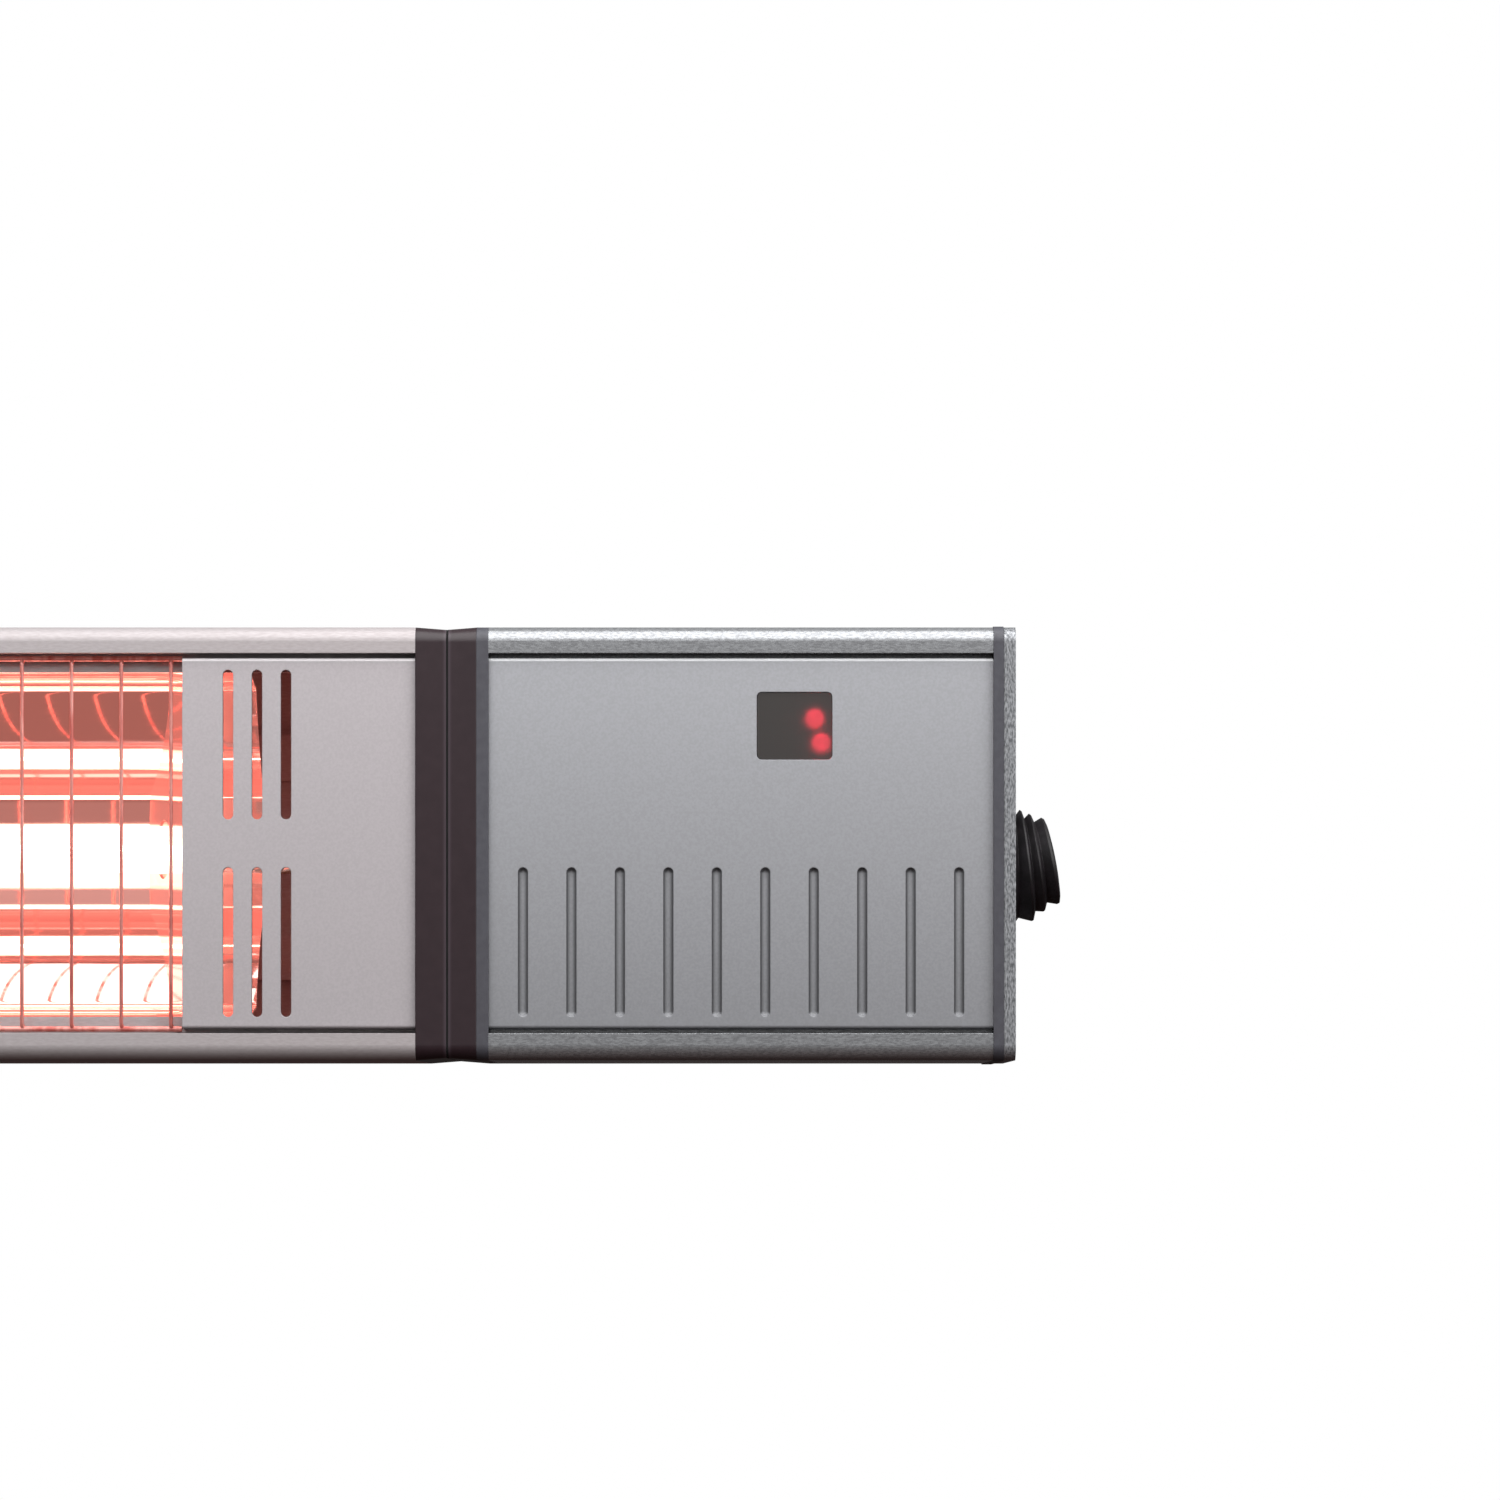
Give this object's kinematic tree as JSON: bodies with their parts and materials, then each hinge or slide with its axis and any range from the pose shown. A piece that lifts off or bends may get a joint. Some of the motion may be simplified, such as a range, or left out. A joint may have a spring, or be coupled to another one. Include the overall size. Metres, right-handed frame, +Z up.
{
  "type": "infrared strip heater",
  "caption": "Wall-mounted infrared strip heater with a gold quartz lamp, bright trough reflector, wire guard and a power box, on a tilting wall bracket.",
  "frame": {"origin": "centre of the wall plate's four-hole pattern, on its back face", "axes": "+X along the heater towards the power box, +Y into the wall, +Z up; the lamp faces -Y"},
  "size_m": [0.7894, 0.1653, 0.1456],
  "materials": {
    "housing_silver": "fine texture silver grey coat on extruded aluminium",
    "cover_grey": "fine texture light grey powder coat",
    "panel_grey": "fine texture grey powder coat",
    "collar_black": "moulded satin black",
    "ring_grey": "moulded satin dark grey",
    "end_casting": "speckled cast aluminium, clear coated",
    "smoked_lens": "smoked, polished",
    "led_red": "translucent red, lit",
    "sensor_black": "dark infrared window",
    "board_green": "solder mask",
    "moulding_black": "moulded matt black",
    "component_blue": "sleeved",
    "laminated_steel": "varnished laminations",
    "raw_aluminium": "mill finish",
    "reflector_bright": "polished and anodised aluminium",
    "guard_steel": "bright drawn wire, heat tinted",
    "quartz_gold": "gold coated fused quartz",
    "filament_hot": "glowing tungsten",
    "lamp_ceramic": "unglazed steatite",
    "zinc_steel": "zinc plated",
    "lead_sleeve": "braided glass fibre sleeve",
    "gland_nylon": "black nylon",
    "boot_rubber": "black ribbed rubber",
    "bracket_paint": "powder coated steel"
  },
  "bodies": {
    "bracket": {"wall_plate": "bracket_paint", "pivot_bolt_left": "zinc_steel", "pivot_bolt_right": "zinc_steel", "pivot_washers": "zinc_steel"},
    "heater": {"lamp_housing": "housing_silver", "control_housing": "housing_silver", "cover_panel_right": "cover_grey", "cover_panel_left": "cover_grey", "control_panel": "panel_grey", "display_lens": "smoked_lens", "display_board": "board_green", "display_leds": "led_red", "infrared_receiver": "sensor_black", "display_frame": "moulding_black", "end_ring_left": "ring_grey", "end_ring_right": "ring_grey", "joint_ring": "ring_grey", "collar_lamp_side": "collar_black", "collar_box_side": "collar_black", "end_plate_right": "end_casting", "end_plate_left": "end_casting", "end_screws_right": "zinc_steel", "end_screws_left": "zinc_steel", "joint_studs": "zinc_steel", "reflector": "reflector_bright", "quartz_tube": "quartz_gold", "filament": "filament_hot", "lamp_cap_left": "lamp_ceramic", "lamp_cap_right": "lamp_ceramic", "lamp_holder_left": "lamp_ceramic", "lamp_holder_right": "lamp_ceramic", "lamp_bracket_left": "zinc_steel", "lamp_bracket_right": "zinc_steel", "end_reflector_left": "reflector_bright", "end_reflector_right": "reflector_bright", "guard_rails": "guard_steel", "guard_wires": "guard_steel", "gland_body": "gland_nylon", "gland_nut": "gland_nylon", "cable_boot": "boot_rubber", "control_board": "board_green", "board_standoffs": "zinc_steel", "transformer": "laminated_steel", "power_relays": "component_blue", "heat_sink": "raw_aluminium", "capacitor": "component_blue", "terminal_block": "moulding_black", "fuse_holder": "lamp_ceramic", "lamp_lead_left": "lead_sleeve", "lamp_lead_right": "lead_sleeve", "saddle_left": "bracket_paint", "saddle_right": "bracket_paint", "saddle_bolts": "zinc_steel", "saddle_nuts": "zinc_steel"},
    "knob_left": {"clamp_knob_left": "moulding_black"},
    "knob_right": {"clamp_knob_right": "moulding_black"}
  },
  "joints": [
    {"name": "tilt", "type": "hinge", "parent": "bracket", "child": "heater", "pos_m": [0, -0.045, 0], "axis": [1, 0, 0], "range_deg": [0, 45]},
    {"name": "knob_left_turn", "type": "hinge", "parent": "bracket", "child": "knob_left", "pos_m": [-0.13, -0.045, 0], "axis": [-1, 0, 0], "range_deg": [0, 360]},
    {"name": "knob_right_turn", "type": "hinge", "parent": "bracket", "child": "knob_right", "pos_m": [0.13, -0.045, 0], "axis": [1, 0, 0], "range_deg": [0, 360]}
  ]
}
